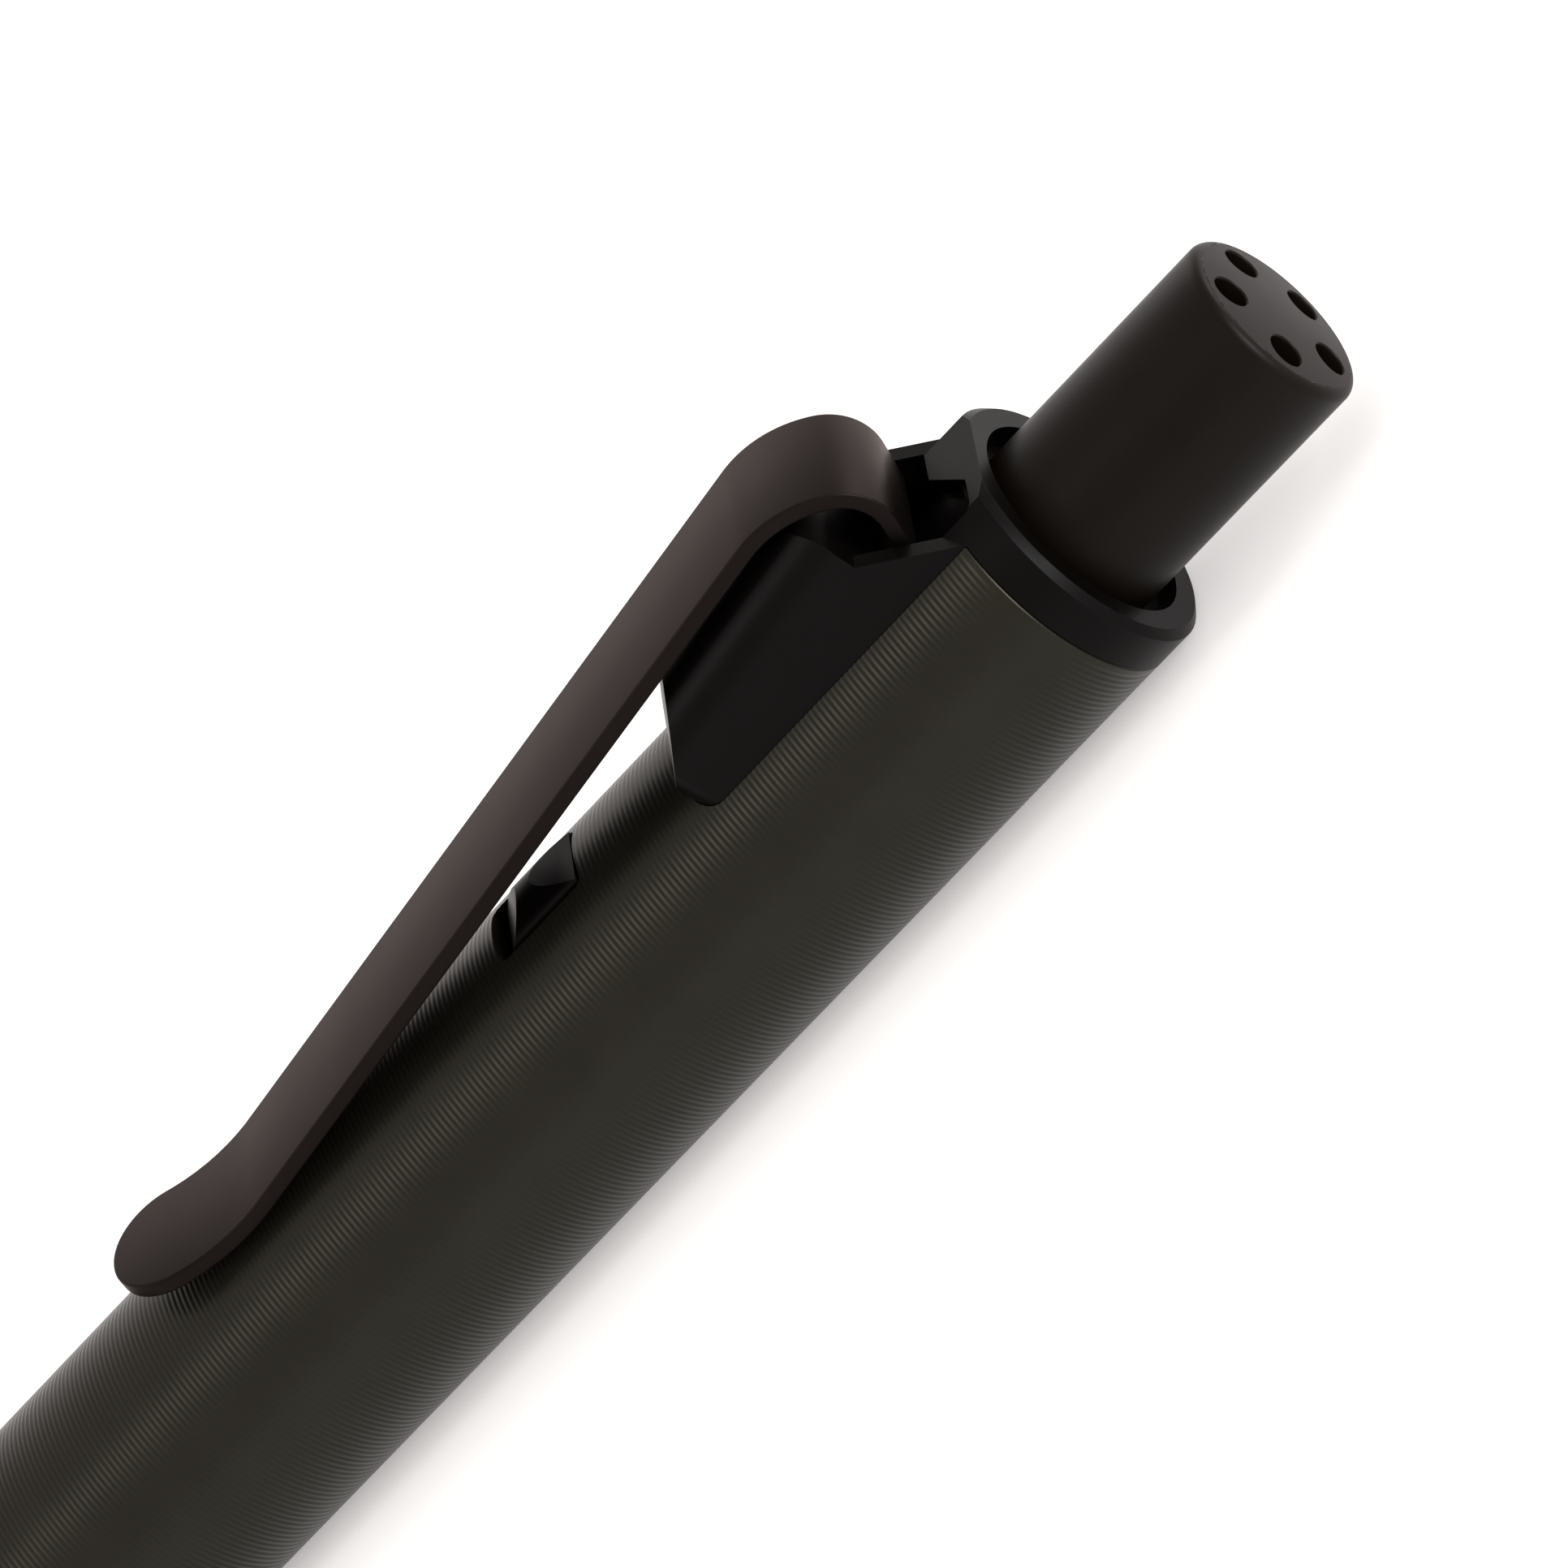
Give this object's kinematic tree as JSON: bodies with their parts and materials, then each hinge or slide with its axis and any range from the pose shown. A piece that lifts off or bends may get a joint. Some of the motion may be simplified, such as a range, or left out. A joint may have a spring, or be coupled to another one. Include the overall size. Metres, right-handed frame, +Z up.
{
  "type": "lead holder",
  "caption": "Drop-clutch lead holder: grooved round barrel, sprung pocket clip, push button, return spring, jawed collet in a tapered nose, and its lead.",
  "frame": {"origin": "on the surface the holder lies on, under its axis, half-way along the overall length from lead point to button", "axes": "X along the holder with the button at +X and the lead point at -X; +Z up, through the pocket clip"},
  "size_m": [0.1464, 0.011, 0.0158],
  "materials": {
    "anodised_olive": "fine turned grooves, matt anodised, dark olive",
    "black_moulding": "satin moulded black",
    "spring_steel": "matt dark warm grey coating on spring steel",
    "black_button": "matt black-brown, fine grain",
    "rubber": "matt black",
    "drawn_aluminium": "drawn tube",
    "brass": "turned brass",
    "spring_wire": "bright spring wire",
    "natural_moulding": "natural acetal moulding",
    "black_anodised": "matt black anodised, turned",
    "plated_steel": "nickel plated, turned",
    "graphite": "graphite, faint sheen"
  },
  "bodies": {
    "holder": {"barrel": "anodised_olive", "clip_carrier": "black_moulding", "thread_bush": "brass", "grip_section": "black_anodised", "grip_o_ring": "rubber", "nose_cone": "black_anodised", "closing_ring": "plated_steel", "spring_washer": "spring_wire", "tube_guide": "natural_moulding"},
    "clip": {"pocket_clip": "spring_steel"},
    "mechanism": {"lead_tube": "drawn_aluminium", "spring_collar": "brass", "return_spring": "spring_wire", "collet_body": "brass"},
    "button": {"push_button": "black_button", "button_core": "black_moulding", "button_o_ring": "rubber"},
    "lead": {"lead": "graphite"},
    "jaw_1": {"collet_jaw_1": "brass"},
    "jaw_2": {"collet_jaw_2": "brass"},
    "jaw_3": {"collet_jaw_3": "brass"}
  },
  "joints": [
    {"name": "button_press", "type": "slide", "parent": "holder", "child": "mechanism", "axis": [-1, 0, 0], "range_m": [0, 0.0035], "stiffness_N_per_m": 600, "deforming": ["return_spring"]},
    {"name": "button_pull", "type": "slide", "parent": "mechanism", "child": "button", "axis": [1, 0, 0], "range_m": [0, 0.022]},
    {"name": "lead_feed", "type": "slide", "parent": "mechanism", "child": "lead", "axis": [-1, 0, 0], "range_m": [-0.003, 0.006]},
    {"name": "clip_flex", "type": "hinge", "parent": "holder", "child": "clip", "pos_m": [0.05797, 0, 0.01033], "axis": [0, 1, 0], "range_deg": [0, 4], "stiffness_Nm_per_rad": 1.3},
    {"name": "jaw_1_open", "type": "hinge", "parent": "mechanism", "child": "jaw_1", "pos_m": [-0.05563, 0, 0.00683], "axis": [0, 1, 0], "range_deg": [0, 2.2]},
    {"name": "jaw_2_open", "type": "hinge", "parent": "mechanism", "child": "jaw_2", "pos_m": [-0.05563, -0.00115, 0.00484], "axis": [0, -0.5, 0.866], "range_deg": [0, 2.2]},
    {"name": "jaw_3_open", "type": "hinge", "parent": "mechanism", "child": "jaw_3", "pos_m": [-0.05563, 0.00115, 0.00484], "axis": [0, -0.5, -0.866], "range_deg": [0, 2.2]}
  ],
  "couplings": [
    {"joint": "jaw_1_open", "follows": "button_press", "rad_per_m": 10.97},
    {"joint": "jaw_2_open", "follows": "button_press", "rad_per_m": 10.97},
    {"joint": "jaw_3_open", "follows": "button_press", "rad_per_m": 10.97}
  ]
}
